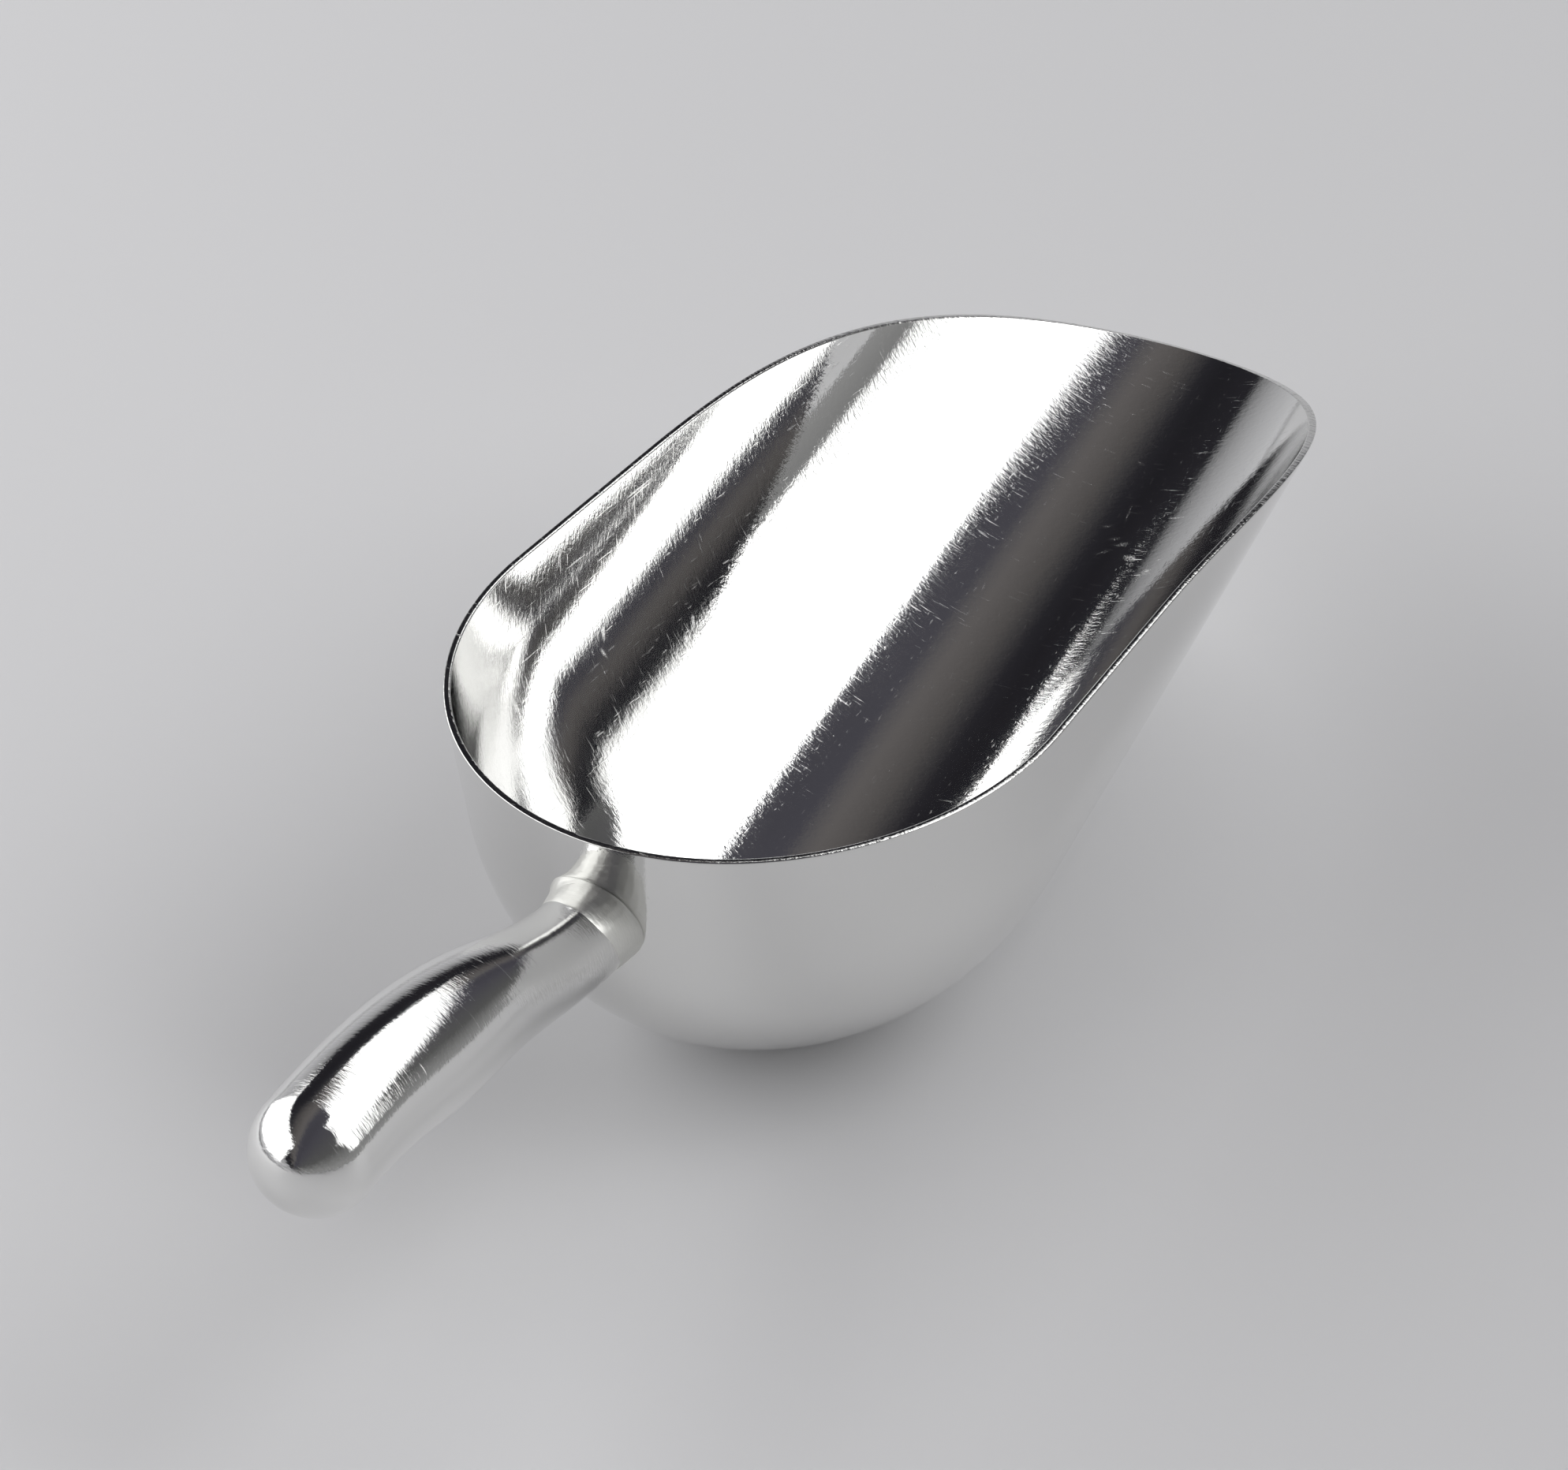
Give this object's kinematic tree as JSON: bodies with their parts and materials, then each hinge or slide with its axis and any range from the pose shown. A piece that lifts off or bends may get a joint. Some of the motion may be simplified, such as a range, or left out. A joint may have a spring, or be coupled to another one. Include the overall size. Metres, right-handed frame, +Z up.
{
  "type": "ice scoop",
  "caption": "One-hand ice scoop: an open, round-bottomed sheet-metal bowl with a sloping nose, and an arched, hollow, round handle welded to its back wall.",
  "frame": {"origin": "on the counter, below the middle of the whole scoop's box", "axes": "+X along the scoop from the handle to the nose, +Z up with the rim level, Y across; the scoop is symmetric about Y = 0"},
  "size_m": [0.2928, 0.1, 0.0669],
  "materials": {
    "bowl_steel": "mirror-polished stainless sheet with fine use scratches inside",
    "handle_steel": "polished stainless with fine marks round the bar; the seam weld is ground flush and polished with it",
    "collar_weld": "satin weld metal with small pits"
  },
  "bodies": {
    "root": {"bowl_shell": "bowl_steel", "handle_half_left": "handle_steel", "handle_half_right": "handle_steel", "handle_seam_weld": "handle_steel", "neck_weld_collar": "collar_weld"}
  },
  "joints": []
}
